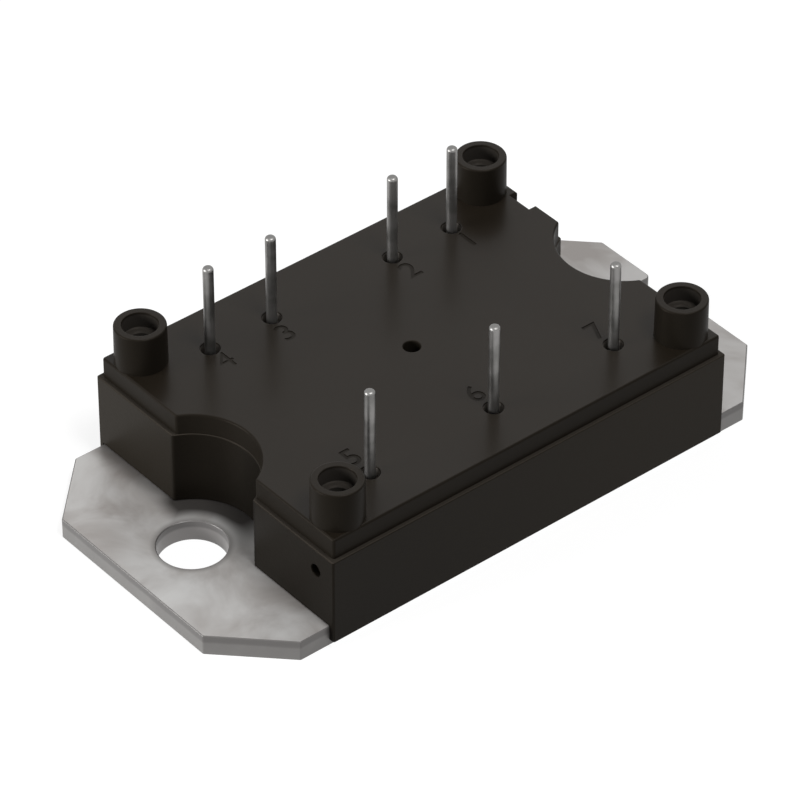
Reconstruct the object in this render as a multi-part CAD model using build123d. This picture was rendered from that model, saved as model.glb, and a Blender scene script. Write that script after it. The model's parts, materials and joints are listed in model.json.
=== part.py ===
# Three-phase bridge rectifier module.
# Origin: centre of the base plate's underside. +X runs to the slotted ear, +Y to the row of four pins, +Z up.
import os
from math import atan2, degrees

from build123d import *

# Base plate
plate_length = 63.5
plate_width = 32.2
plate_thickness = 2.1
corner_cut = 6.0  # both legs of each cut corner
mount_pitch = 50.0  # closed hole to the slot's inner end
mount_bore = 6.4  # hole diameter and slot width
mouth_round = 0.6  # corners of the slot's mouth

# Housing frame
housing_length = 45.2
skirt_height = 0.6  # lower edge of the skirt above the resting face
skirt_gap = 0.05  # skirt to the plate's side
skirt_wall = 0.55  # skirt beside the plate
rim_height = 9.6
wall = 1.6
edge_round = 0.3  # upright edges
head_clearance = 6.15  # radius left clear round each mounting screw's head
gate_offset = 14.3  # gate recess in the end wall over the closed hole
gate_height = 7.3
gate_bore = 1.2
gate_depth = 0.7

# Lid
lid_height = 11.7  # top face above the resting face
lid_thickness = 1.7
lid_ledge = 0.4  # width of the frame's rim left bare round the lid
lid_scallop = 0.1  # the same, round the screw heads
lid_bevel = 0.2  # edge of the top face
rib_gap = 0.1  # locating rib to the frame's wall
rib_thickness = 1.0
rib_depth = 1.2  # below the rim
notch_centre = 10.2  # locating notch in the edge over the slotted ear
notch_width = 2.6
notch_depth = 0.8
fill_bore = 1.6

# Screw bosses for the circuit board
boss_inset_x = 2.9  # from the housing's end walls
boss_inset_y = 2.88  # from its long walls
boss_height = 15.7
boss_diameter = 4.9  # at the rim, just inside the lid's sides
boss_draft = 0.5  # degrees
boss_recess = 3.3  # lead-in diameter
boss_recess_depth = 1.7
pilot_bore = 2.1
pilot_depth = 5.9  # from the boss's top
post_wall = 1.4  # material round the pilot bore under the lid

# Pins
pin_diameter = 1.0
pin_pitch = 7.0
pin_inset = 5.5  # rows of pins from the long walls
pin_tip = 20.8  # height of the tips above the resting face
pin_point = 0.2  # bevel at the tip
pin_hole = 1.8  # opening in the lid
funnel_mouth = 3.0  # side of the square lead-in under the lid
funnel_depth = 0.5
funnel_slope = 45.0  # degrees
foot_side = 2.0
foot_thickness = 0.4
foot_solder = 0.1
solder_toe = 0.4  # spread of the solder round each foot

# Glue and potting
glue = 0.12
glue_setback = 0.75  # from the frame's outer faces
gel_level = 6.6

# Substrate
end_gap = 0.9  # substrate to the walls round the screw heads
side_gap = 1.4  # substrate to the long walls
base_solder = 0.15
solder_margin = 0.3  # base solder beyond the back copper
copper = 0.3
ceramic = 0.63
track_margin = 0.6  # bare ceramic round the copper
track_gap = 0.6
ac_depth = 9.2
strip_width = 1.6  # negative strip between the dies
band_depth = 5.6  # positive band under the upper dies
column_width = 1.8  # negative strip's link to the far row

# Diodes and their ribbons
die_side = 4.0
die_thickness = 0.35
die_solder = 0.08
die_solder_margin = 0.15
die_offset = 2.3  # from the centre line of its phase
die_inset = 0.8  # lower die to the edge of its track
ribbon_width = 1.0
ribbon_thickness = 0.2
ribbon_spacing = 1.6
ribbon_foot = 0.9
ribbon_rise = 1.6  # top of the loop above the die
ribbon_lead = 0.35  # where the loop peaks, as a share of its span
landing_inset = 1.0  # upper ribbon's foot to the edge of the phase track

# Worked-out plan of the housing
housing_width = plate_width + 2 * (skirt_gap + skirt_wall)
boss_x = housing_length / 2 - boss_inset_x
boss_y = housing_width / 2 - boss_inset_y
row_y = housing_width / 2 - pin_inset

# Worked-out levels
seat = plate_thickness + glue
ceiling = lid_height - lid_thickness
rib_low = rim_height - rib_depth
back_copper_low = plate_thickness + base_solder
ceramic_low = back_copper_low + copper
track_low = ceramic_low + ceramic
track_top = track_low + copper
die_low = track_top + die_solder
die_top = die_low + die_thickness
foot_low = track_top + foot_solder
foot_top = foot_low + foot_thickness

# Worked-out plan of the substrate
substrate_length = mount_pitch - 2 * (head_clearance + wall + end_gap)
substrate_width = housing_width - 2 * (wall + side_gap)
track_x = substrate_length / 2 - track_margin
track_y = substrate_width / 2 - track_margin
phase_pitch = (2 * track_x + track_gap) / 3
ac_edge = ac_depth - track_y
strip_low = ac_edge + track_gap
strip_high = strip_low + strip_width
band_low = strip_high + track_gap
band_high = band_low + band_depth
far_low = band_high + track_gap

# Pin places: steps of the pitch along X, and the side along Y
pin_places = {
    "ac_1": (-2, -1),
    "ac_2": (0, -1),
    "ac_3": (2, -1),
    "dc_minus_1": (-2, 1),
    "dc_minus_2": (-1, 1),
    "dc_plus_1": (1, 1),
    "dc_plus_2": (2, 1),
}
pin_centres = {name: (step * pin_pitch, side * row_y) for name, (step, side) in pin_places.items()}
boss_centres = [(side * boss_x, end * boss_y) for side in (-1, 1) for end in (-1, 1)]


def slab(plan, low, high):
    # A flat plan turned into a plate between two levels
    return extrude(Pos(0, 0, low) * plan, high - low)


def patch(x_low, y_low, x_high, y_high):
    # A rectangle given by two opposite corners
    return Pos((x_low + x_high) / 2, (y_low + y_high) / 2) * Rectangle(x_high - x_low, y_high - y_low)


def post(place, radius, low, high):
    # An upright cylinder between two levels
    return Pos(place[0], place[1], low) * extrude(Circle(radius), high - low)


def turned(place, *profile):
    # A solid of revolution about an upright axis, from (radius, height) points
    section = make_face(Plane.XZ * Polyline(*profile, close=True))
    return Pos(place[0], place[1], 0) * revolve(section, Axis.Z)


def base_plate():
    blank = chamfer(Rectangle(plate_length, plate_width).vertices(), corner_cut)
    hole = Pos(-mount_pitch / 2, 0) * Circle(mount_bore / 2)
    slot = Pos(mount_pitch / 2, 0) * Circle(mount_bore / 2)
    slot += patch(mount_pitch / 2, -mount_bore / 2, plate_length / 2, mount_bore / 2)
    plan = blank - hole - slot
    end_corners = plan.vertices().group_by(Axis.X)[-1]
    mouth = end_corners.sort_by(lambda corner: abs(corner.Y))[:2]
    return slab(fillet(mouth, mouth_round), 0, plate_thickness)


def housing_plan(inset, scallop):
    # The housing seen from above, drawn in from its walls and round the screw heads
    plan = RectangleRounded(housing_length - 2 * inset, housing_width - 2 * inset, edge_round)
    for side in (-1, 1):
        plan -= Pos(side * mount_pitch / 2, 0) * Circle(head_clearance + scallop)
    return plan


def housing_frame():
    body = slab(housing_plan(0, 0) - housing_plan(wall, wall), skirt_height, rim_height)
    body -= slab(Rectangle(plate_length, plate_width + 2 * skirt_gap), skirt_height, seat)
    gate = Plane((-housing_length / 2, -gate_offset, gate_height), z_dir=(1, 0, 0)) * Circle(gate_bore / 2)
    return body - extrude(gate, gate_depth)


def lid():
    outline = housing_plan(lid_ledge, lid_scallop)
    body = slab(outline, rim_height, lid_height)
    body = chamfer(body.faces().sort_by(Axis.Z)[-1].edges(), lid_bevel)
    notch_edge = housing_length / 2 - lid_ledge - notch_depth
    notch = patch(notch_edge, notch_centre - notch_width / 2, housing_length / 2, notch_centre + notch_width / 2)
    body -= slab(notch, rim_height, lid_height)
    for x, y in boss_centres:
        boss = Pos(x, y, rim_height) * Circle(boss_diameter / 2)
        body += extrude(boss, boss_height - rim_height, taper=boss_draft)

    # A locating rib all round inside the frame, and a post under each boss
    reach = wall + rib_gap
    inner = housing_plan(reach + rib_thickness, reach + rib_thickness)
    for x, y in boss_centres:
        inner -= Pos(x, y) * Circle(pilot_bore / 2 + post_wall)
    body += slab(housing_plan(reach, reach), rib_low, rim_height)
    body -= slab(inner, rib_low, ceiling)

    # Openings
    for place in boss_centres:
        body -= post(place, boss_recess / 2, boss_height - boss_recess_depth, boss_height)
        body -= post(place, pilot_bore / 2, boss_height - pilot_depth, boss_height)
    funnel = extrude(Rectangle(funnel_mouth, funnel_mouth), funnel_depth, taper=funnel_slope)
    for x, y in pin_centres.values():
        body -= Pos(x, y, ceiling) * funnel
        body -= post((x, y), pin_hole / 2, ceiling, lid_height)
    return body - post((0, 0), fill_bore / 2, ceiling, lid_height)


def housing_adhesive():
    bead = housing_plan(glue_setback, glue_setback) - housing_plan(wall, wall)
    return slab(bead, plate_thickness, seat)


def substrate():
    # Solder, back copper, ceramic and the five copper tracks, from the plate up
    back = Rectangle(2 * track_x, 2 * track_y)
    wetted = Rectangle(2 * (track_x + solder_margin), 2 * (track_y + solder_margin))
    stack = {
        "base_solder": slab(wetted, plate_thickness, back_copper_low),
        "substrate_back_copper": slab(back, back_copper_low, ceramic_low),
        "substrate_ceramic": slab(Rectangle(substrate_length, substrate_width), ceramic_low, track_low),
    }
    tracks = {}
    for phase in (1, 2, 3):
        left = -track_x + (phase - 1) * phase_pitch
        tracks[f"ac_{phase}"] = patch(left, -track_y, left + phase_pitch - track_gap, ac_edge)
    column_edge = -track_x + column_width
    far_left = patch(-track_x, far_low, -track_gap / 2, track_y)
    column = patch(-track_x, strip_low, column_edge, far_low)
    strip = patch(-track_x, strip_low, track_x, strip_high)
    tracks["dc_minus"] = far_left + column + strip
    far_right = patch(track_gap / 2, band_low, track_x, track_y)
    band = patch(column_edge + track_gap, band_low, track_x, band_high)
    tracks["dc_plus"] = far_right + band
    for name, plan in tracks.items():
        stack[f"track_{name}"] = slab(plan, track_low, track_top)
    return stack


def ribbon_pair(x, from_y, to_y):
    # Two flat aluminium ribbons side by side, from a die's top down to a track
    step = 1 if to_y > from_y else -1
    first = from_y + step * ribbon_foot / 2
    last = to_y - step * ribbon_foot / 2
    half = ribbon_thickness / 2
    path = Polyline(
        (0, from_y - step * ribbon_foot / 2, die_top + half),
        (0, first, die_top + half),
        (0, first + ribbon_lead * (last - first), die_top + ribbon_rise),
        (0, last, track_top + half),
        (0, to_y + step * ribbon_foot / 2, track_top + half),
    )
    section = Plane(path @ 0, x_dir=(1, 0, 0), z_dir=path % 0) * Rectangle(ribbon_width, ribbon_thickness)
    ribbon = sweep(section, path, transition=Transition.RIGHT)
    return [Pos(x + side * ribbon_spacing / 2, 0, 0) * ribbon for side in (-1, 1)]


def diodes():
    # An upper and a lower diode for each phase, each with its solder and its ribbons
    pieces = {}
    square = Rectangle(die_side, die_side)
    wetted = Rectangle(die_side + 2 * die_solder_margin, die_side + 2 * die_solder_margin)
    lower_y = ac_edge - die_inset - die_side / 2
    upper_y = (band_low + band_high) / 2
    strip_y = (strip_low + strip_high) / 2
    for phase in (1, 2, 3):
        centre = (phase - 2) * phase_pitch
        legs = {
            f"lower_{phase}": (centre - die_offset, lower_y, strip_y),
            f"upper_{phase}": (centre + die_offset, upper_y, ac_edge - landing_inset),
        }
        for leg, (x, y, landing) in legs.items():
            pieces[f"die_solder_{leg}"] = slab(Pos(x, y) * wetted, track_top, die_low)
            pieces[f"diode_{leg}"] = slab(Pos(x, y) * square, die_low, die_top)
            pieces[f"bond_ribbons_{leg}"] = Compound(ribbon_pair(x, y, landing))
    return pieces


def pins():
    # Round pins on a flat square foot, each foot in a pyramid of solder on its track
    pieces = {}
    shank = pin_diameter / 2
    spread = foot_side + 2 * solder_toe
    solder_slope = degrees(atan2(solder_toe, foot_top - track_top))
    for name, (x, y) in pin_centres.items():
        foot = slab(Pos(x, y) * Rectangle(foot_side, foot_side), foot_low, foot_top)
        pieces[f"pin_{name}"] = foot + turned(
            (x, y), (0, foot_low), (shank, foot_low), (shank, pin_tip - pin_point),
            (shank - pin_point, pin_tip), (0, pin_tip))
        toe = Pos(x, y, track_top) * extrude(Rectangle(spread, spread), foot_top - track_top, taper=solder_slope)
        pieces[f"pin_solder_{name}"] = toe - foot
    return pieces


def silicone_gel(embedded):
    # Potting that fills the frame up to its level, round everything on the plate
    pool = slab(housing_plan(wall, wall), plate_thickness, gel_level)
    return pool - embedded


inside = substrate() | diodes() | pins()
module = {
    "base_plate": base_plate(),
    "housing_frame": housing_frame(),
    "lid": lid(),
    "housing_adhesive": housing_adhesive(),
    "silicone_gel": silicone_gel(list(inside.values())),
} | inside

os.makedirs("parts", exist_ok=True)
for node, shape in module.items():
    export_step(shape, f"parts/{node}.step")
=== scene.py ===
# Three-phase bridge rectifier module: refined pieces, finishes, light and camera
import json
from math import atan2, cos, pi, radians, sin, sqrt, tan

import bmesh
import bpy
from mathutils import Matrix, Vector


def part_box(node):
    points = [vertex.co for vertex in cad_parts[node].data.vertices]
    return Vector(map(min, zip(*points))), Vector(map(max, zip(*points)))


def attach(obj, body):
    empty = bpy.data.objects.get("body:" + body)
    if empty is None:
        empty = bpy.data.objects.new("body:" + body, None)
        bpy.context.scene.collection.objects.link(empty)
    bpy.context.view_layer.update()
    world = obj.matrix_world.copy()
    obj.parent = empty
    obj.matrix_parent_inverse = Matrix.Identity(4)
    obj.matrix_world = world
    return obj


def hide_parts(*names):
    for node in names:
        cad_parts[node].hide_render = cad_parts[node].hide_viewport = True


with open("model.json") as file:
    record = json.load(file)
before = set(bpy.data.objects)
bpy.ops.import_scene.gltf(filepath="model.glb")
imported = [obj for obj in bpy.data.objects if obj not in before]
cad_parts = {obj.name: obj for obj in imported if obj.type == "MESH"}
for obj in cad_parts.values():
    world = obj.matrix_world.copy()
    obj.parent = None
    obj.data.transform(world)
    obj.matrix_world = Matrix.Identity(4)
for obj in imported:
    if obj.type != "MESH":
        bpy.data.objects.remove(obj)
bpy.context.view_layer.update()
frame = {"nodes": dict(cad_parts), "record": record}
mm = 0.001
print("frame loaded with", len(frame["nodes"]), "nodes")


# Shader sums: a Wire is a socket, and each operator adds its Math node
class Wire:
    def __init__(self, shader, socket):
        self.shader = shader
        self.socket = socket

    def __add__(self, other):
        return self.shader.maths("ADD", self, other)

    def __radd__(self, other):
        return self.shader.maths("ADD", other, self)

    def __sub__(self, other):
        return self.shader.maths("SUBTRACT", self, other)

    def __rsub__(self, other):
        return self.shader.maths("SUBTRACT", other, self)

    def __mul__(self, other):
        return self.shader.maths("MULTIPLY", self, other)

    def __rmul__(self, other):
        return self.shader.maths("MULTIPLY", other, self)

    def __truediv__(self, other):
        return self.shader.maths("DIVIDE", self, other)

    def __rtruediv__(self, other):
        return self.shader.maths("DIVIDE", other, self)


class Shader:
    def __init__(self, tree):
        self.tree = tree
        tree.nodes.clear()

    def add(self, kind, settings=None, values=None, out=0):
        node = self.tree.nodes.new(kind)
        for key, value in (settings or {}).items():
            setattr(node, key, value)
        for key, value in (values or {}).items():
            self.feed(self.find(node.inputs, key), value)
        return Wire(self, self.find(node.outputs, out)) if node.outputs else node

    def find(self, sockets, key):
        if isinstance(key, int):
            return sockets[key]
        return next(s for s in sockets if key in (s.identifier, s.name))

    def feed(self, socket, value):
        if isinstance(value, Wire):
            self.tree.links.new(value.socket, socket)
        else:
            socket.default_value = value

    def maths(self, operation, first, second=0.0):
        return self.add("ShaderNodeMath", {"operation": operation}, {0: first, 1: second})

    def noise(self, vector, scale, detail, rough, twist=0.0):
        return self.add("ShaderNodeTexNoise", {"noise_dimensions": "3D"},
                        {"Vector": vector, "Scale": scale, "Detail": detail, "Roughness": rough,
                         "Distortion": twist}, "Fac")

    def stretch(self, vector, factors):
        return self.add("ShaderNodeVectorMath", {"operation": "MULTIPLY"}, {0: vector, 1: factors})

    def part(self, vector, axis):
        return self.add("ShaderNodeSeparateXYZ", None, {"Vector": vector}, axis)

    def spread(self, value, low, high):
        # 0 below low, 1 above high, and a soft step between
        return self.add("ShaderNodeMapRange", {"interpolation_type": "SMOOTHSTEP"},
                        {"Value": value, "From Min": low, "From Max": high})

    def blend(self, factor, first, second):
        return self.add("ShaderNodeMix", {"data_type": "RGBA"},
                        {"Factor_Float": factor, "A_Color": first, "B_Color": second}, "Result_Color")

    def bump(self, height, distance, strength):
        return self.add("ShaderNodeBump", None,
                        {"Height": height, "Distance": distance, "Strength": strength})


def rgb(red, green, blue):
    return (red, green, blue, 1.0)


white = rgb(1.0, 1.0, 1.0)


def faceNormal(shader, axis):
    return shader.part(shader.add("ShaderNodeNewGeometry", None, None, "Normal"), axis)


def nearestAxis(shader, place, x, y):
    # of the upright axes at plus and minus x and y: how far out along X from it, and how far away
    across = shader.maths("ABSOLUTE", shader.part(place, "X")) - x * mm
    along = shader.maths("ABSOLUTE", shader.part(place, "Y")) - y * mm
    return across, shader.maths("SQRT", across * across + along * along)


def makeFinish(name, build):
    # build gets the shader and the object coordinates, and returns the values of the surface's sockets
    material = bpy.data.materials.new(name)
    material.use_nodes = True
    shader = Shader(material.node_tree)
    place = shader.add("ShaderNodeTexCoord", None, None, "Object")
    surface = shader.add("ShaderNodeBsdfPrincipled", None, build(shader, place))
    shader.add("ShaderNodeOutputMaterial", None, {"Surface": surface})
    return material


# Sizes that the finishes use too, in millimetres
plate = {"corner": 6.0, "cornerRound": 0.25, "hole": 6.4, "pitch": 50.0, "mouthRound": 0.6,
         "topEdge": 0.14, "lowEdge": 0.1, "holeEdge": 0.12, "roundSteps": 14, "holeSides": 72}
housing = {"length": 45.2, "width": 33.4, "rim": 9.6, "clearance": 6.15, "cornerRound": 0.2,
           "lipRound": 0.3, "wall": 1.6, "innerRound": 0.1, "rimEdge": 0.14, "skirtEdge": 0.1,
           "skirtGap": 0.05, "seat": 2.22, "cornerSteps": 8, "lipSteps": 6, "clearanceSteps": 56}
gate = {"side": 14.3, "level": 7.3, "bore": 1.2, "depth": 0.7, "rim": 0.12, "rimBend": 0.3,
        "floorRound": 0.1, "sides": 32}
boss = {"diameter": 4.9, "draft": 0.5, "edge": 0.18, "edgeSteps": 5, "sides": 72,
        "recess": 3.3, "recessDepth": 1.7, "rim": 0.14, "rimBend": ((0.1, 0.5), (0.35, 0.12)),
        "pilot": 2.1, "pilotDepth": 5.9, "pilotLead": 0.15, "floorRound": 0.1, "boreSides": 64,
        "insetX": 2.9, "insetY": 2.88, "postWall": 1.4}
bossX, bossY = housing["length"] / 2 - boss["insetX"], housing["width"] / 2 - boss["insetY"]


# In each look a noise is (scale, detail, roughness, distortion), and a pair is where a soft step starts and
# ends: a share, a face's upward part or, times mm, a place on the module
platingLook = {
    "bright": rgb(0.605, 0.6, 0.59), "dull": rgb(0.345, 0.32, 0.304), "tones": (0.36, 0.6),
    "clouds": (150.0, 4.0, 0.55, 0.6), "cloudShare": 0.45,
    "wipes": (62.0, 3.0, 0.5, 1.2), "wiped": (1.0, 0.45, 1.0),
    "grain": (2600.0, 2.0, 0.6), "rolled": (1.0, 0.12, 1.0),
    # painted shade: the next keys darken the plate towards the far side and the slotted end
    "farSide": (-6.0 * mm, 10.0 * mm), "farSideShade": 0.27, "farSideLoss": 1.35,
    "farEnd": (5.0 * mm, 25.0 * mm), "farEndShade": 0.36,
    # painted shade along the foot of the housing and in the screw-head clearances, patchy
    "footShade": rgb(0.05, 0.046, 0.043), "footShadeReach": 2.3 * mm, "footShadeTuck": 0.8, "footShadeDepth": 1.1,
    "footShadePatches": 0.5, "footShadeSide": (-4.6 * mm, 0.6 * mm), "thinSide": (5.4 * mm, 7.5 * mm),
    "thinLoss": 0.45, "topFace": (0.2, 0.6),
    # painted shade: a dark ring on the rounded rim round each screw hole
    "ring": rgb(0.2, 0.19, 0.183), "rimShadeReach": (3.2 * mm, 3.9 * mm), "rimShadeDepth": 0.75,
    # edge faces: partly a sheared finish, partly painted shade; the line colour is a painted dark reflection
    # under the top edge
    "side": rgb(0.215, 0.208, 0.201), "sideFace": (0.004, 0.05), "sideClouds": (0.3, 0.7),
    "sidePatches": 0.35,
    "line": rgb(0.125, 0.119, 0.115), "lineLevel": 1.42 * mm, "lineSoft": 0.16 * mm,
    "lineWander": 0.4 * mm, "lineDepth": 0.85,
    "bore": rgb(0.25, 0.238, 0.232), "boreReach": (3.5 * mm, 3.7 * mm),
    "metal": 0.28, "roughness": 0.34, "roughClouds": 0.14, "roughGrain": 0.06,
    "bumpGrain": 0.5, "bump": (0.012 * mm, 0.5)}


def nickelPlating(shader, place):
    look = platingLook
    clouds = shader.noise(place, *look["clouds"])
    wipes = shader.noise(shader.stretch(place, look["wiped"]), *look["wipes"])
    grain = shader.noise(shader.stretch(place, look["rolled"]), *look["grain"])
    x, y, z = (shader.part(place, axis) for axis in "XYZ")
    up = faceNormal(shader, "Z")

    # clouded all over, and darker towards the far side and the slotted end as painted shade
    farEnd = shader.spread(x, *look["farEnd"])
    farSide = shader.spread(y, *look["farSide"]) * (1.0 - farEnd * look["farSideLoss"])
    farShade = farSide * look["farSideShade"] + farEnd * look["farEndShade"]
    mixed = clouds * look["cloudShare"] + wipes * (1.0 - look["cloudShare"])
    tone = shader.maths("MAXIMUM", shader.spread(mixed, *look["tones"]) - farShade, 0.0)
    colour = shader.blend(tone, look["dull"], look["bright"])

    # painted shade on the top face along the foot of the housing, and a ring of painted shade round each
    # screw's place
    across, reach = nearestAxis(shader, place, plate["pitch"] / 2, 0.0)
    fromWall = across + (plate["pitch"] / 2 - housing["length"] / 2) * mm
    fromCutout = (housing["clearance"] - look["footShadeTuck"]) * mm - reach
    away = shader.maths("MAXIMUM", fromWall, fromCutout)
    # painted shade: strongest next to the walls, only on the side away from the key lamp
    shadedFoot = (1.0 - shader.spread(away, 0.0, look["footShadeReach"])) * shader.spread(y, *look["footShadeSide"])
    shadedFoot = shadedFoot * (1.0 - look["thinLoss"] * shader.spread(y, *look["thinSide"]))
    shadedFoot = shadedFoot * (look["footShadeDepth"] + look["footShadePatches"] * (wipes - 0.5))
    colour = shader.blend(shadedFoot * shader.spread(up, *look["topFace"]), colour, look["footShade"])
    # painted shade: darkens the rounded rim round each screw hole
    ring = 1.0 - shader.spread(reach, *look["rimShadeReach"])
    colour = shader.blend(ring * look["rimShadeDepth"], colour, look["ring"])

    # edge faces: partly a duller sheared finish and partly painted shade, with a painted dark reflection
    # line under the top face and painted shade in the bore
    side = shader.spread(1.0 - shader.maths("ABSOLUTE", up), *look["sideFace"])
    level = z + look["lineWander"] * (clouds - 0.5)
    line = shader.spread(level, look["lineLevel"] - look["lineSoft"], look["lineLevel"] + look["lineSoft"])
    patches = shader.spread(clouds, *look["sideClouds"]) * look["sidePatches"]
    shearedAndShaded = shader.blend(patches, look["side"], look["line"])
    shearedAndShaded = shader.blend(1.0 - shader.spread(reach, *look["boreReach"]), shearedAndShaded, look["bore"])
    shearedAndShaded = shader.blend(line * look["lineDepth"], shearedAndShaded, look["line"])
    rough = look["roughness"] + look["roughClouds"] * (clouds - 0.5) + look["roughGrain"] * grain
    return {"Base Color": shader.blend(side, colour, shearedAndShaded), "Metallic": look["metal"], "Roughness": rough,
            "Normal": shader.bump(grain * look["bumpGrain"] + clouds, *look["bump"])}


frameLook = {
    "deep": rgb(0.0048, 0.004, 0.003), "pale": rgb(0.0175, 0.0145, 0.0108),
    "flow": (55.0, 3.0, 0.5, 0.8), "flowed": (1.0, 1.0, 0.5), "grain": (5200.0, 2.0, 0.55),
    # painted light and shade on the frame: the slant, the height and the two clearances
    "slant": 1.2, "slanted": (-41.0 * mm, 8.0 * mm), "slantLight": 0.8,
    "flowTone": 0.3, "flowMiddle": 0.35, "upwards": (1.0 * mm, 9.0 * mm), "upwardsLight": 0.14,
    "cutout": (6.25 * mm, 6.6 * mm), "cutoutShade": 0.45,
    # painted light on the upward face of the bare rim
    "rim": rgb(0.033, 0.0285, 0.0235), "rimLightFace": (0.5, 0.9), "rimLightLevel": (9.4 * mm, 9.45 * mm),
    "gloss": 0.07, "glossTint": rgb(1.0, 0.82, 0.64),
    "roughness": 0.42, "roughGrain": 0.1, "roughFlow": 0.08, "bump": (0.012 * mm, 0.6)}


def framePlastic(shader, place):
    look = frameLook
    flow = shader.noise(shader.stretch(place, look["flowed"]), *look["flow"])
    grain = shader.noise(place, *look["grain"])
    x, y, height = (shader.part(place, axis) for axis in "XYZ")

    # painted light and shade: paler the farther from the near left corner and the higher up the walls, and
    # darker in the two screw-head clearances, where shade falls
    pale = look["slantLight"] * shader.spread(x + look["slant"] * y, *look["slanted"])
    pale = pale + look["flowTone"] * (flow - look["flowMiddle"])
    pale = pale + look["upwardsLight"] * shader.spread(height, *look["upwards"])
    reach = nearestAxis(shader, place, plate["pitch"] / 2, 0.0)[1]
    pale = pale - look["cutoutShade"] * (1.0 - shader.spread(reach, *look["cutout"]))
    colour = shader.blend(pale, look["deep"], look["pale"])

    # painted light: the bare rim beside the lid is painted the palest
    rim = shader.spread(faceNormal(shader, "Z"), *look["rimLightFace"]) * shader.spread(height, *look["rimLightLevel"])
    rough = look["roughness"] + look["roughGrain"] * (grain - 0.5) + look["roughFlow"] * (flow - 0.5)
    return {"Base Color": shader.blend(rim, colour, look["rim"]), "Roughness": rough,
            "Specular IOR Level": look["gloss"], "Specular Tint": look["glossTint"],
            "Normal": shader.bump(grain, *look["bump"])}


lidLook = {
    "deep": rgb(0.0085, 0.007, 0.0052), "pale": rgb(0.0128, 0.0105, 0.0078),
    "brown": rgb(0.0138, 0.0108, 0.0075), "brownShare": 0.75,
    "flow": (38.0, 3.0, 0.5, 0.9), "grain": (6500.0, 2.0, 0.55),
    # painted light inside the boss bores and the pin holes
    "hollow": rgb(0.036, 0.032, 0.028), "hollowReach": (1.62 * mm, 1.72 * mm),
    "hollowLevel": (15.4 * mm, 15.6 * mm),
    "pinBoreLight": rgb(0.16, 0.145, 0.13), "rowInside": (9.0 * mm, 9.4 * mm),
    "rowOutside": (12.5 * mm, 12.9 * mm), "rowEnd": (16.0 * mm, 16.4 * mm),
    "boreFace": (0.6, 0.8), "boreLevel": (11.6 * mm, 11.64 * mm),
    "polish": 0.465, "polishFlow": 0.12, "polishFace": (0.8, 0.98), "polishRoughness": 0.25,
    "polishIor": 1.4, "polishTint": rgb(1.0, 0.96, 0.93),
    "engravedPolish": 0.45, "engraved": (11.66 * mm, 11.69 * mm),
    "bossTop": (15.4 * mm, 15.8 * mm), "bossWear": 0.3,
    "gloss": 0.05, "glossTint": rgb(1.0, 0.86, 0.72),
    "roughness": 0.42, "roughGrain": 0.08, "roughFlow": 0.1, "bump": (0.008 * mm, 0.5)}


def lidPlastic(shader, place):
    look = lidLook
    flow = shader.noise(place, *look["flow"])
    grain = shader.noise(place, *look["grain"])
    height = shader.part(place, "Z")
    up = faceNormal(shader, "Z")

    # polished from the mould: the upper faces, the engraving less than half as much, and not the walls
    engraved = 1.0 - shader.spread(height, *look["engraved"])
    polished = shader.spread(up, *look["polishFace"]) * (1.0 - (1.0 - look["engravedPolish"]) * engraved)
    colour = shader.blend(flow, look["deep"], look["pale"])
    colour = shader.blend(polished * look["brownShare"], colour, look["brown"])

    # painted light: the stepped bores of the bosses are painted paler than the plastic
    reach = nearestAxis(shader, place, bossX, bossY)[1]
    hollow = 1.0 - shader.spread(reach, *look["hollowReach"])
    hollow = hollow * (1.0 - shader.spread(height, *look["hollowLevel"]))
    colour = shader.blend(hollow, colour, look["hollow"])

    # so are the walls of the pin holes, in the two rows away from the outer walls, as painted light
    across, along = (shader.maths("ABSOLUTE", shader.part(place, axis)) for axis in "XY")
    bored = shader.spread(along, *look["rowInside"]) * (1.0 - shader.spread(along, *look["rowOutside"]))
    bored = bored * (1.0 - shader.spread(across, *look["rowEnd"]))
    bored = bored * shader.spread(1.0 - shader.maths("ABSOLUTE", up), *look["boreFace"])
    bored = bored * (1.0 - shader.spread(height, *look["boreLevel"]))
    colour = shader.blend(bored, colour, look["pinBoreLight"])

    kept = 1.0 - look["bossWear"] * shader.spread(height, *look["bossTop"])
    coat = polished * (look["polish"] + look["polishFlow"] * (flow - 0.5)) * kept
    rough = look["roughness"] + look["roughGrain"] * (grain - 0.5) + look["roughFlow"] * (flow - 0.5)
    return {"Base Color": colour, "Roughness": rough,
            "Specular IOR Level": look["gloss"], "Specular Tint": look["glossTint"],
            "Coat Weight": coat, "Coat Roughness": look["polishRoughness"],
            "Coat IOR": look["polishIor"], "Coat Tint": look["polishTint"],
            "Normal": shader.bump(grain, *look["bump"])}


pinLook = {
    "bright": rgb(0.256, 0.251, 0.244), "dull": rgb(0.162, 0.159, 0.153), "patches": (0.35, 0.65),
    "clouds": (420.0, 3.0, 0.5), "draw": (2400.0, 2.0, 0.6), "drawn": (1.0, 1.0, 0.06),
    "cut": rgb(0.22, 0.216, 0.21), "cutLevel": (20.55 * mm, 20.63 * mm),
    "roughness": 0.32, "roughClouds": 0.1, "roughDraw": 0.06, "bump": (0.0012 * mm, 0.3)}


def tinPlating(shader, place):
    # dull plating on the drawn wire, grey metal where it was cut to length
    look = pinLook
    draw = shader.noise(shader.stretch(place, look["drawn"]), *look["draw"])
    clouds = shader.noise(place, *look["clouds"])
    cut = shader.spread(shader.part(place, "Z"), *look["cutLevel"])
    worn = shader.blend(shader.spread(clouds, *look["patches"]), look["dull"], look["bright"])
    return {"Base Color": shader.blend(cut, worn, look["cut"]), "Metallic": 1.0,
            "Roughness": look["roughness"] + look["roughClouds"] * clouds + look["roughDraw"] * draw,
            "Normal": shader.bump(draw, *look["bump"])}


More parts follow.
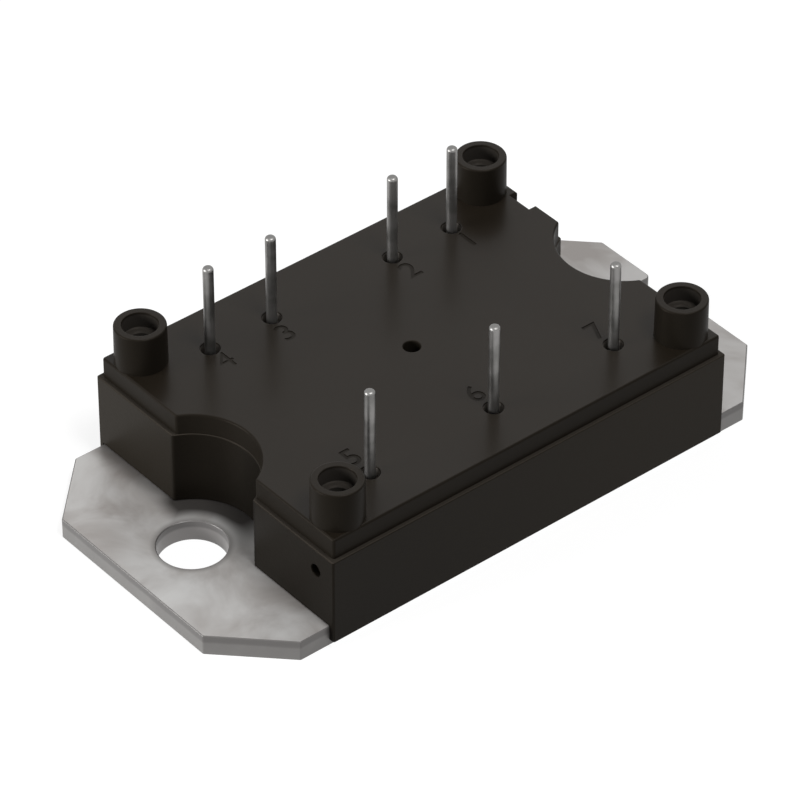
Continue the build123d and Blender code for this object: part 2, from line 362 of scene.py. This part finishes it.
# What lies inside: two tones, a fine noise and, where the tones don't follow it, a coarse one
innerLooks = {
    "copper": {"title": "bonded copper", "metal": 1.0,
               "tones": (rgb(0.72, 0.34, 0.2), rgb(0.55, 0.24, 0.14)),
               "coarse": (190.0, 4.0, 0.6, 0.5), "fine": (5200.0, 2.0, 0.5), "roughBy": "coarse",
               "rough": (0.3, 0.2), "bump": (0.006 * mm, 0.5)},
    "ceramic": {"title": "alumina ceramic", "tones": (rgb(0.8, 0.79, 0.76), rgb(0.7, 0.69, 0.66)),
                "fine": (4200.0, 3.0, 0.6), "rough": (0.5, 0.15), "bump": (0.004 * mm, 0.4)},
    "solder": {"title": "soft solder", "metal": 1.0,
               "tones": (rgb(0.62, 0.61, 0.6), rgb(0.42, 0.42, 0.42)),
               "fine": (1500.0, 4.0, 0.65, 0.3), "rough": (0.25, 0.3), "bump": (0.015 * mm, 0.5)},
    "silicon": {"title": "die metal", "metal": 1.0,
                "tones": (rgb(0.6, 0.6, 0.62), rgb(0.5, 0.5, 0.53)),
                "coarse": (700.0, 2.0, 0.5), "fine": (6800.0, 2.0, 0.6), "rough": (0.35, 0.2),
                "bump": (0.003 * mm, 0.5)},
    "aluminium_ribbon": {"title": "aluminium ribbon", "metal": 1.0, "stretch": (1.0, 0.08, 0.08),
                         "tones": (rgb(0.86, 0.86, 0.87), rgb(0.74, 0.74, 0.76)),
                         "fine": (5200.0, 2.0, 0.6), "rough": (0.22, 0.18), "bump": (0.004 * mm, 0.5)},
    "silicone_gel": {"title": "silicone gel", "ior": 1.41,
                     "tones": (rgb(0.5, 0.5, 0.48), rgb(0.42, 0.42, 0.4)),
                     "fine": (90.0, 3.0, 0.5, 0.4), "rough": (0.08, 0.1), "bump": (0.05 * mm, 0.4)},
    "adhesive": {"title": "black adhesive", "tones": (rgb(0.035, 0.033, 0.03), rgb(0.055, 0.052, 0.047)),
                 "fine": (620.0, 3.0, 0.55, 0.3), "rough": (0.35, 0.2), "bump": (0.04 * mm, 0.5)},
}


def innerFinish(look):
    def build(shader, place):
        if "stretch" in look:
            place = shader.stretch(place, look["stretch"])
        fine = shader.noise(place, *look["fine"])
        coarse = shader.noise(place, *look["coarse"]) if "coarse" in look else fine
        least, more = look["rough"]
        values = {"Base Color": shader.blend(coarse, *look["tones"]), "Metallic": look.get("metal", 0.0),
                  "Roughness": least + more * (coarse if look.get("roughBy") == "coarse" else fine),
                  "Normal": shader.bump(fine, *look["bump"])}
        if "ior" in look:
            values["IOR"] = look["ior"]
        return values
    return makeFinish(look["title"], build)


finishes = {
    "nickel_plate": makeFinish("clouded nickel plating", nickelPlating),
    "black_frame": makeFinish("moulded frame plastic", framePlastic),
    "black_lid": makeFinish("moulded lid plastic", lidPlastic),
    "tinned_pin": makeFinish("tin plated wire", tinPlating),
}
for slot, look in innerLooks.items():
    finishes[slot] = innerFinish(look)
for part in frame["record"]["subparts"]:
    node = frame["nodes"][part["node"]]
    node.data.materials.clear()
    node.data.materials.append(finishes[part["material_slot"]])
print("finishes made:", len(finishes))


# Mesh work: points within weld millimetres are one, a cutter stands out of its target by over millimetres,
# and edges that bend by less than softAngle degrees are shaded smooth
weld = 0.0005
over = 1.0
softAngle = 32.0


def newObject(name, mesh):
    piece = bpy.data.objects.new(name, mesh)
    bpy.context.scene.collection.objects.link(piece)
    return piece


def fromBmesh(name, work):
    bmesh.ops.remove_doubles(work, verts=work.verts, dist=weld * mm)
    bmesh.ops.recalc_face_normals(work, faces=work.faces)
    mesh = bpy.data.meshes.new(name)
    work.to_mesh(mesh)
    work.free()
    return newObject(name, mesh)


def settle(piece):
    # the modifiers' result becomes the piece's own plain mesh
    bpy.context.view_layer.update()
    evaluated = piece.evaluated_get(bpy.context.evaluated_depsgraph_get())
    mesh = bpy.data.meshes.new_from_object(evaluated)
    piece.modifiers.clear()
    piece.data = mesh
    return piece


def combine(piece, other, operation):
    boolean = piece.modifiers.new("combine", "BOOLEAN")
    boolean.operation = operation
    boolean.solver = "EXACT"
    boolean.object = other
    settle(piece)
    bpy.data.objects.remove(other)
    return piece


def arc(centre, radius, start, end, steps):
    turns = [radians(start + (end - start) * k / steps) for k in range(steps + 1)]
    return [(centre[0] + radius * cos(t), centre[1] + radius * sin(t)) for t in turns]


def roundedPolygon(corners, steps):
    # corners are (x, y, radius), in order round the outline
    points = []
    for k, (x, y, radius) in enumerate(corners):
        here = Vector((x, y))
        back = (Vector(corners[k - 1][:2]) - here).normalized()
        ahead = (Vector(corners[(k + 1) % len(corners)][:2]) - here).normalized()
        if radius == 0.0:
            points.append((x, y))
            continue
        half = back.angle(ahead) / 2
        reach = radius / tan(half)
        centre = here + (back + ahead).normalized() * (radius / sin(half))
        first = (here + back * reach) - centre
        last = (here + ahead * reach) - centre
        turn = atan2(first.x * last.y - first.y * last.x, first.dot(last))
        for step in range(steps + 1):
            swing = Matrix.Rotation(turn * step / steps, 2) @ first
            points.append(tuple(centre + swing))
    return points


def offsetLoop(points, inset):
    # every corner moves inwards by inset, square to its two sides; the loop runs anticlockwise
    moved = []
    for k, point in enumerate(points):
        here = Vector(point)
        before = (here - Vector(points[k - 1])).normalized()
        after = (Vector(points[(k + 1) % len(points)]) - here).normalized()
        inwards = Vector((-before.y - after.y, before.x + after.x))
        square = 1.0 + before.dot(after)
        moved.append(tuple(here + inwards * (inset / square)))
    return moved


def ringAt(work, loop, height):
    return [work.verts.new((x * mm, y * mm, height * mm)) for x, y in loop]


def bridge(work, lower, upper):
    count = len(lower)
    for k in range(count):
        ahead = (k + 1) % count
        work.faces.new((lower[k], lower[ahead], upper[ahead], upper[k]))


def edgeProfile(low, high, lowRound, highRound, steps=5):
    # (inset, height) from the bottom of a wall to its top, with both edges rounded
    def quarter(radius, level, direction):
        if radius == 0.0:
            return [(0.0, level)]
        turns = [0.5 * pi * k / steps for k in range(steps + 1)]
        return [(radius * (1 - sin(t)), level + direction * radius * (1 - cos(t))) for t in turns]
    return quarter(lowRound, low, 1) + quarter(highRound, high, -1)[::-1]


def roundedSlab(name, outline, holes, low, high, lowRound=0.0, highRound=0.0, holeRound=0.0):
    # a flat plate between two levels, its outline and its holes with rounded edges, all in millimetres
    work = bmesh.new()
    lowEdges = []
    highEdges = []
    walls = [(outline, 1, highRound)] + [(hole, -1, holeRound) for hole in holes]
    for loop, sign, roundness in walls:
        rings = [ringAt(work, offsetLoop(loop, sign * inset), level)
                 for inset, level in edgeProfile(low, high, lowRound if sign == 1 else 0.0, roundness)]
        for lower, upper in zip(rings, rings[1:]):
            bridge(work, lower, upper)
        for ring, edges in ((rings[0], lowEdges), (rings[-1], highEdges)):
            for k, corner in enumerate(ring):
                edges.append(work.edges.get((corner, ring[(k + 1) % len(ring)])))
    for edges in (lowEdges, highEdges):
        bmesh.ops.triangle_fill(work, use_beauty=True, use_dissolve=False, edges=edges)
    return fromBmesh(name, work)


def lathe(name, profile, place=(0.0, 0.0), sides=48, start=0.0):
    # a closed solid of revolution about an upright axis, from (radius, height) points between two poles
    work = bmesh.new()
    rings = []
    for radius, height in profile:
        if radius == 0.0:
            rings.append([work.verts.new((place[0] * mm, place[1] * mm, height * mm))])
        else:
            loop = arc(place, radius, start, start + 360.0 * (sides - 1) / sides, sides - 1)
            rings.append(ringAt(work, loop, height))
    for lower, upper in zip(rings, rings[1:]):
        if len(lower) == 1 or len(upper) == 1:
            pole, ring = (lower[0], upper) if len(lower) == 1 else (upper[0], lower)
            for k in range(sides):
                work.faces.new((pole, ring[k], ring[(k + 1) % sides]))
        else:
            bridge(work, lower, upper)
    return fromBmesh(name, work)


def circle(centre, radius, sides=40):
    return arc(centre, radius, 0.0, 360.0 * (sides - 1) / sides, sides - 1)


# the ways that the module's flat faces point, and the cosine from which a face points that way
flatWays = [Vector(way).normalized() for way in (
    (1, 0, 0), (-1, 0, 0), (0, 1, 0), (0, -1, 0), (0, 0, 1), (0, 0, -1),
    (1, 1, 0), (1, -1, 0), (-1, 1, 0), (-1, -1, 0))]
flatEnough = 0.99999


def keepFlat(mesh):
    # a corner on a flat face takes exactly its normal, so that the soft edges don't shade the face
    nearly = cos(radians(softAngle))
    ways = {}
    for face in mesh.polygons:
        way = next((way for way in flatWays if face.normal.dot(way) > flatEnough), None)
        if way:
            for corner in face.vertices:
                ways.setdefault(corner, []).append(way)
    normals = [Vector(entry.vector) for entry in mesh.corner_normals]
    for k, loop in enumerate(mesh.loops):
        near = [way for way in ways.get(loop.vertex_index, []) if way.dot(normals[k]) > nearly]
        if near:
            normals[k] = max(near, key=normals[k].dot)
    mesh.normals_split_custom_set(normals)


def finishPiece(piece, slotName, *nodes):
    # its finish, smooth over soft edges and flat on flat faces, then its body and the nodes it stands for
    piece.data.materials.clear()
    piece.data.materials.append(finishes[slotName])
    piece.data.shade_smooth()
    piece.data.set_sharp_from_angle(angle=radians(softAngle))
    keepFlat(piece.data)
    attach(piece, "root")
    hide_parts(*nodes)
    print(piece.name, "has", sum(len(face.vertices) - 2 for face in piece.data.polygons), "triangles")


# A round post with a rounded top edge, one at each point of the mesh that the tree is put on
def postTree():
    tree = bpy.data.node_groups.new("roundedPosts", "GeometryNodeTree")
    face = tree.interface
    face.new_socket("Places", in_out="INPUT", socket_type="NodeSocketGeometry")
    for label in ("Low", "High", "Low radius", "High radius", "Edge round"):
        face.new_socket(label, in_out="INPUT", socket_type="NodeSocketFloat")
    for label in ("Round steps", "Sides"):
        face.new_socket(label, in_out="INPUT", socket_type="NodeSocketInt")
    face.new_socket("Finish", in_out="INPUT", socket_type="NodeSocketMaterial")
    face.new_socket("Posts", in_out="OUTPUT", socket_type="NodeSocketGeometry")
    nodes = Shader(tree)
    given = tree.nodes.new("NodeGroupInput")
    socket = {entry.name: Wire(nodes, entry) for entry in given.outputs if entry.name}
    low, high = socket["Low"], socket["High"]
    lowRadius, highRadius, edge = socket["Low radius"], socket["High radius"], socket["Edge round"]
    steps = socket["Round steps"]

    # point 0 is the foot, point 1 the start of the rounding, and the last point its end on the top face
    line = nodes.add("GeometryNodeCurvePrimitiveLine", {"mode": "POINTS"}, {"End": (0.0, 0.0, 1.0)}, "Curve")
    line = nodes.add("GeometryNodeResampleCurve", None, {"Curve": line, "Count": steps + 2.0}, "Curve")
    index = nodes.add("GeometryNodeInputIndex", None, None, "Index")
    onEdge = nodes.maths("MINIMUM", index, 1.0)
    turn = nodes.maths("MAXIMUM", index - 1.0, 0.0) / steps * (0.5 * pi)
    level = low + onEdge * (high - edge + edge * nodes.maths("SINE", turn) - low)
    radius = lowRadius + onEdge * (highRadius - edge + edge * nodes.maths("COSINE", turn) - lowRadius)
    spot = nodes.add("ShaderNodeCombineXYZ", None, {"Z": level}, "Vector")
    line = nodes.add("GeometryNodeSetPosition", None, {"Geometry": line, "Position": spot}, "Geometry")
    section = nodes.add("GeometryNodeCurvePrimitiveCircle", {"mode": "RADIUS"},
                        {"Resolution": socket["Sides"], "Radius": 1.0}, "Curve")
    line = nodes.add("GeometryNodeSetCurveRadius", None, {"Curve": line, "Radius": radius}, "Curve")
    wrapped = tree.nodes.new("GeometryNodeCurveToMesh")
    nodes.feed(wrapped.inputs["Curve"], line)
    nodes.feed(wrapped.inputs["Profile Curve"], section)
    nodes.feed(wrapped.inputs["Fill Caps"], True)
    if "Scale" in wrapped.inputs:
        nodes.feed(wrapped.inputs["Scale"], radius)
    post = Wire(nodes, wrapped.outputs["Mesh"])
    copies = nodes.add("GeometryNodeInstanceOnPoints", None,
                       {"Points": socket["Places"], "Instance": post}, "Instances")
    solid = nodes.add("GeometryNodeRealizeInstances", None, {"Geometry": copies}, "Geometry")
    solid = nodes.add("GeometryNodeSetMaterial", None,
                      {"Geometry": solid, "Material": socket["Finish"]}, "Geometry")
    nodes.add("NodeGroupOutput", None, {"Posts": solid})
    return tree


posts = postTree()


def postsAt(name, places, finish, values):
    # values are in millimetres, apart from the two counts
    mesh = bpy.data.meshes.new(name)
    mesh.from_pydata([(x * mm, y * mm, 0.0) for x, y in places], [], [])
    piece = newObject(name, mesh)
    modifier = piece.modifiers.new("posts", "NODES")
    modifier.node_group = posts
    inputs = {entry.name: entry.identifier
              for entry in posts.interface.items_tree if entry.in_out == "INPUT"}
    for label, value in values.items():
        modifier[inputs[label]] = value if isinstance(value, int) else value * mm
    modifier[inputs["Finish"]] = finish
    settle(piece)
    work = bmesh.new()
    work.from_mesh(piece.data)
    bpy.data.objects.remove(piece)
    return fromBmesh(name, work)


# Base plate: cut corners, a closed hole at one end and an open slot at the other
def platePiece():
    x, y, top = (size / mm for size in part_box("base_plate")[1])
    cut, slot = plate["corner"], plate["hole"] / 2
    bend, mouth = plate["cornerRound"], plate["mouthRound"]
    end = plate["pitch"] / 2 - slot
    outline = roundedPolygon([
        (-x + cut, -y, bend), (x - cut, -y, bend), (x, -y + cut, bend),
        (x, -slot, mouth), (end, -slot, slot), (end, slot, slot), (x, slot, mouth),
        (x, y - cut, bend), (x - cut, y, bend), (-x + cut, y, bend), (-x, y - cut, bend),
        (-x, -y + cut, bend)], plate["roundSteps"])
    hole = circle((-plate["pitch"] / 2, 0.0), slot, plate["holeSides"])
    piece = roundedSlab("basePlate", outline, [hole], 0.0, top, plate["lowEdge"], plate["topEdge"],
                        plate["holeEdge"])
    finishPiece(piece, "nickel_plate", "base_plate")


platePiece()


# Housing seen from above: a rectangle with rounded corners, cut by the clearance round each screw head
def housingOutline(x, y, radius, corner, lip, notch=()):
    # half length, half width, clearance radius, corner and lip radii; notch is added to the +X end only
    centre = plate["pitch"] / 2
    lipX = x - lip
    lipY = sqrt((radius + lip) ** 2 - (centre - lipX) ** 2)
    tilt = atan2(lipY, centre - lipX) / pi * 180.0
    bend, turn, sweep = housing["cornerSteps"], housing["lipSteps"], housing["clearanceSteps"]

    def end(extra):
        points = arc((x - corner, -y + corner), corner, -90.0, 0.0, bend)
        points += arc((lipX, -lipY), lip, 0.0, tilt, turn)
        points += arc((centre, 0.0), radius, 180.0 + tilt, 180.0 - tilt, sweep)[1:-1]
        points += arc((lipX, lipY), lip, -tilt, 0.0, turn)
        return points + list(extra) + arc((x - corner, y - corner), corner, 0.0, 90.0, bend)

    return end(notch) + [(-px, -py) for px, py in end(())]


def framePiece():
    x, y, wall = housing["length"] / 2, housing["width"] / 2, housing["wall"]
    low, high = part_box("housing_frame")
    outer = housingOutline(x, y, housing["clearance"], housing["cornerRound"], housing["lipRound"])
    soft = housing["innerRound"]
    inner = housingOutline(x - wall, y - wall, housing["clearance"] + wall, housing["cornerRound"], soft)
    piece = roundedSlab("housingFrame", outer, [inner], low[2] / mm, high[2] / mm, housing["skirtEdge"],
                        housing["rimEdge"], soft)

    # room for the plate between the two skirts, and the gate's recess in one end wall
    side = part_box("base_plate")[1][1] / mm + housing["skirtGap"]
    pocket = roundedSlab("pocket", [(-2 * x, -side), (2 * x, -side), (2 * x, side), (-2 * x, side)], [],
                         -over, housing["seat"])
    combine(piece, pocket, "DIFFERENCE")
    combine(piece, gateCutter(x), "DIFFERENCE")
    finishPiece(piece, "black_frame", "housing_frame")


def gateCutter(x):
    # a shallow round recess with a soft rim, turned about Z and then laid into the end wall at -x
    bore, rim, depth, soft = gate["bore"] / 2, gate["rim"], gate["depth"], gate["floorRound"]
    bend = rim * gate["rimBend"]
    profile = [(0.0, -depth), (bore - soft, -depth), (bore, soft - depth), (bore, -rim),
               (bore + bend, -bend), (bore + rim, 0.0), (bore + rim, over), (0.0, over)]
    cutter = lathe("gate", profile, sides=gate["sides"])
    place = Matrix.Translation((-x * mm, -gate["side"] * mm, gate["level"] * mm))
    cutter.data.transform(place @ Matrix.Rotation(radians(-90.0), 4, "Y"))
    return cutter


framePiece()


# Lid with its bosses, locating rib, posts, funnels and pin numbers
lid = {"top": 11.7, "thickness": 1.7, "ledge": 0.4, "scallop": 0.1, "edge": 0.22, "cornerRound": 0.26,
       "lipRound": 0.35, "notchCentre": 10.2, "notchWidth": 2.6, "notchDepth": 0.8, "fillBore": 1.6,
       "holeEdge": 0.12, "pinHole": 1.8, "funnel": 3.0, "funnelDepth": 0.5, "funnelOver": 0.1,
       "ribGap": 0.1, "rib": 1.0, "ribDepth": 1.2, "ribSunk": 0.05, "ribCorner": 0.5, "ribLip": 0.1}
pinNames = sorted(name for name in frame["nodes"] if name.startswith("pin_") and "solder" not in name)
bossPlaces = [(side * bossX, end * bossY) for side in (-1, 1) for end in (-1, 1)]


def nodeCentre(name):
    low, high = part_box(name)
    return (low[0] + high[0]) / 2 / mm, (low[1] + high[1]) / 2 / mm


pinPlaces = [nodeCentre(name) for name in pinNames]


def lidPiece():
    x, y = housing["length"] / 2, housing["width"] / 2
    clearance, ledge = housing["clearance"], lid["ledge"]
    seat = housing["rim"]
    notchX = x - ledge - lid["notchDepth"]
    notchLow = lid["notchCentre"] - lid["notchWidth"] / 2
    notchHigh = lid["notchCentre"] + lid["notchWidth"] / 2
    notch = [(x - ledge, notchLow), (notchX, notchLow), (notchX, notchHigh), (x - ledge, notchHigh)]
    outline = housingOutline(x - ledge, y - ledge, clearance + lid["scallop"], lid["cornerRound"],
                             lid["lipRound"], notch)
    holes = [circle(place, lid["pinHole"] / 2) for place in pinPlaces]
    holes.append(circle((0.0, 0.0), lid["fillBore"] / 2))
    piece = roundedSlab("lidMoulding", outline, holes, seat, lid["top"], 0.0, lid["edge"], lid["holeEdge"])

    # bosses stand on the frame's rim and run through the lid's corners
    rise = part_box("lid")[1][2] / mm
    narrow = (rise - seat) * tan(radians(boss["draft"]))
    values = {"Low": seat, "High": rise, "Low radius": boss["diameter"] / 2,
              "High radius": boss["diameter"] / 2 - narrow, "Edge round": boss["edge"],
              "Round steps": boss["edgeSteps"], "Sides": boss["sides"]}
    combine(piece, postsAt("bosses", bossPlaces, finishes["black_lid"], values), "UNION")

    # underside: the rib inside the frame's wall, hollow up to the ceiling, with a post under each boss
    reach = housing["wall"] + lid["ribGap"]
    hollow = reach + lid["rib"]
    ribLow = seat - lid["ribDepth"]
    ceiling = lid["top"] - lid["thickness"]
    corner, lip = lid["ribCorner"], lid["ribLip"]
    ribOutline = housingOutline(x - reach, y - reach, clearance + reach, corner, lip)
    hollowOutline = housingOutline(x - hollow, y - hollow, clearance + hollow, corner, lip)
    combine(piece, roundedSlab("rib", ribOutline, [], ribLow, seat + lid["ribSunk"]), "UNION")
    cavity = roundedSlab("cavity", hollowOutline, [], ribLow - over, ceiling)
    radius = boss["pilot"] / 2 + boss["postWall"]
    postLow, postHigh = ribLow - 2 * over, ceiling + over
    postProfile = [(0.0, postLow), (radius, postLow), (radius, postHigh), (0.0, postHigh)]
    for place in bossPlaces:
        combine(cavity, lathe("post", postProfile, place), "DIFFERENCE")
    combine(piece, cavity, "DIFFERENCE")
    for place in bossPlaces:
        combine(piece, recessCutter(place, rise), "DIFFERENCE")
    mouth = lid["funnel"] / sqrt(2.0)
    slope = lid["funnelDepth"] * sqrt(2.0)
    funnelLow, funnelTop = ceiling - lid["funnelOver"], ceiling + lid["funnelDepth"]
    funnelProfile = [(0.0, funnelLow), (mouth, funnelLow), (mouth, ceiling), (mouth - slope, funnelTop),
                     (0.0, funnelTop)]
    for place in pinPlaces:
        combine(piece, lathe("funnel", funnelProfile, place, sides=4, start=45.0), "DIFFERENCE")
    for text, place in numeralPlaces.items():
        combine(piece, numeralCutter(text, place), "DIFFERENCE")
    finishPiece(piece, "black_lid", "lid")


def recessCutter(place, rise):
    # the stepped bore of a boss, with a soft rim and a short lead into the pilot bore
    rim, wide, narrow = boss["rim"], boss["recess"] / 2, boss["pilot"] / 2
    soft, lead = boss["floorRound"], boss["pilotLead"]
    floor, bottom = rise - boss["recessDepth"], rise - boss["pilotDepth"]
    profile = [(0.0, bottom), (narrow - soft, bottom), (narrow, bottom + soft), (narrow, floor - lead),
               (narrow + lead, floor), (wide - soft, floor), (wide, floor + soft), (wide, rise - rim)]
    profile += [(wide + rim * out, rise - rim * down) for out, down in boss["rimBend"]]
    profile += [(wide + rim, rise), (wide + rim, rise + over), (0.0, rise + over)]
    return lathe("recess", profile, place, boss["boreSides"])


# Plain counting numbers beside the pins
numerals = {"size": 3.2, "depth": 0.06, "weight": 0.03, "plain": "4", "bends": 5}
numeralPlaces = {"1": (14.0, 8.8), "2": (7.0, 8.6), "3": (-7.4, 8.6), "4": (-14.0, 8.9),
                 "5": (-13.95, -8.65), "6": (-0.05, -8.8), "7": (14.0, -8.85)}


def numeralCutter(text, place):
    curve = bpy.data.curves.new("numeral", "FONT")
    curve.body = text
    curve.size = numerals["size"] * mm
    # the 4 keeps the font's own weight, or its counter would split
    curve.offset = 0.0 if text in numerals["plain"] else numerals["weight"] * mm
    curve.extrude = numerals["depth"] * mm
    curve.resolution_u = numerals["bends"]
    curve.align_x = "CENTER"
    curve.align_y = "CENTER"
    letter = newObject("numeral", curve)
    bpy.context.view_layer.update()
    evaluated = letter.evaluated_get(bpy.context.evaluated_depsgraph_get())
    mesh = bpy.data.meshes.new_from_object(evaluated)
    bpy.data.objects.remove(letter)
    mesh.transform(Matrix.Translation((place[0] * mm, place[1] * mm, lid["top"] * mm)))
    work = bmesh.new()
    work.from_mesh(mesh)
    return fromBmesh("numeral", work)


lidPiece()


# Pins: drawn wire with a rounded tip, on a flat square foot
pin = {"radius": 0.5, "tipRound": 0.32, "tipSteps": 6, "sides": 40, "foot": 2.0, "footThickness": 0.4}


def pinPieces():
    low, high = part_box(pinNames[0])
    footLow, tip = low[2] / mm, high[2] / mm
    values = {"Low": footLow, "High": tip, "Low radius": pin["radius"], "High radius": pin["radius"],
              "Edge round": pin["tipRound"], "Round steps": pin["tipSteps"], "Sides": pin["sides"]}
    piece = postsAt("pins", pinPlaces, finishes["tinned_pin"], values)
    half = pin["foot"] / 2
    for x, y in pinPlaces:
        square = [(x - half, y - half), (x + half, y - half), (x + half, y + half), (x - half, y + half)]
        combine(piece, roundedSlab("foot", square, [], footLow, footLow + pin["footThickness"]), "UNION")
    finishPiece(piece, "tinned_pin", *pinNames)


pinPieces()


# Floor, light and camera; size and the lamps in metres, and the floor runs under the part by hidden mm
stageLook = {"size": 3.0, "hidden": 0.05, "albedo": 0.3, "glow": 0.8}


def seenRays(shader):
    rays = [shader.add("ShaderNodeLightPath", None, None, ray)
            for ray in ("Is Camera Ray", "Is Glossy Ray", "Is Transmission Ray")]
    return shader.maths("MAXIMUM", shader.maths("MAXIMUM", rays[0], rays[1]), rays[2])


def floorFinish():
    material = bpy.data.materials.new("pale floor")
    material.use_nodes = True
    shader = Shader(material.node_tree)
    albedo = stageLook["albedo"]
    paint = shader.add("ShaderNodeBsdfDiffuse", None, {"Color": rgb(albedo, albedo, albedo)})
    glow = shader.add("ShaderNodeEmission", None,
                      {"Color": white, "Strength": seenRays(shader) * stageLook["glow"]})
    both = shader.add("ShaderNodeAddShader", None, {0: paint, 1: glow})
    shader.add("ShaderNodeOutputMaterial", None, {"Surface": both})
    return material


def makeFloor():
    # the floor is open under the part, so that the underside shows from below and no two faces coincide
    half, hidden = stageLook["size"] / 2 / mm, stageLook["hidden"]
    x, y = (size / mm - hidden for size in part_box("base_plate")[1][:2])
    cut = plate["corner"]
    skirtX, skirtY = housing["length"] / 2 - hidden, housing["width"] / 2 - hidden
    quarter = [(skirtX, skirtY), (skirtX, y), (x - cut, y), (x, y - cut)]
    right = [(px, -py) for px, py in quarter] + quarter[::-1]
    opening = right + [(-px, -py) for px, py in right]
    work = bmesh.new()
    edges = []
    for loop in ([(-half, -half), (half, -half), (half, half), (-half, half)], opening):
        ring = ringAt(work, loop, 0.0)
        edges += [work.edges.new((ring[k - 1], ring[k])) for k in range(len(ring))]
    bmesh.ops.triangle_fill(work, use_beauty=True, use_dissolve=False, edges=edges)
    for face in work.faces:
        face.normal_update()
        if face.normal.z < 0:
            face.normal_flip()
    mesh = bpy.data.meshes.new("floor")
    work.to_mesh(mesh)
    work.free()
    mesh.materials.append(floorFinish())
    newObject("floor", mesh)


makeFloor()

skyLook = {"strength": 0.2, "seen": 1.0}


def makeSky():
    world = bpy.data.worlds.new("studio")
    world.use_nodes = True
    shader = Shader(world.node_tree)
    strength = skyLook["strength"] + seenRays(shader) * (skyLook["seen"] - skyLook["strength"])
    sky = shader.add("ShaderNodeBackground", None, {"Color": white, "Strength": strength})
    shader.add("ShaderNodeOutputWorld", None, {"Surface": sky})
    bpy.context.scene.world = world


makeSky()

lamps = {
    "keyLamp": {"place": (0.02, -0.4, 0.85), "size": 0.3, "power": 5.0},
    "fillLamp": {"place": (-0.8, 0.3, 0.16), "size": 0.4, "power": 8.5},
}


def makeLamps():
    for name, lamp in lamps.items():
        light = bpy.data.lights.new(name, "AREA")
        light.size = lamp["size"]
        light.energy = lamp["power"]
        holder = bpy.data.objects.new(name, light)
        bpy.context.scene.collection.objects.link(holder)
        holder.location = lamp["place"]
        holder.rotation_euler = Vector(lamp["place"]).to_track_quat("Z", "Y").to_euler()


makeLamps()

# The view is worked out for an 800 by 800 picture; angles in degrees, lengths in millimetres
view = {"azimuth": -39.64, "elevation": 38.89, "roll": 0.04, "distance": 473.1, "aimRight": -1.05,
        "aimUp": 4.33, "focalPixels": 5238.0, "picture": 800, "sensor": 36.0, "nearest": 10.0}


def makeCamera():
    azimuth, elevation, roll = (radians(view[key]) for key in ("azimuth", "elevation", "roll"))
    back = Vector((sin(azimuth) * cos(elevation), -cos(azimuth) * cos(elevation), sin(elevation)))
    right = Vector((cos(azimuth), sin(azimuth), 0.0))
    up = back.cross(right)
    right, up = right * cos(roll) + up * sin(roll), up * cos(roll) - right * sin(roll)
    place = right * view["aimRight"] + up * view["aimUp"] + back * view["distance"]
    data = bpy.data.cameras.new("camera")
    data.sensor_width = view["sensor"]
    data.lens = view["focalPixels"] / view["picture"] * view["sensor"]
    camera = bpy.data.objects.new("camera", data)
    bpy.context.scene.collection.objects.link(camera)
    turned = Matrix((right, up, back)).transposed().to_4x4()
    camera.matrix_world = Matrix.Translation(place * mm) @ turned
    data.clip_start = view["nearest"] * mm
    bpy.context.scene.camera = camera


makeCamera()
bpy.context.scene.view_settings.view_transform = "Standard"
print("floor, light and camera placed")
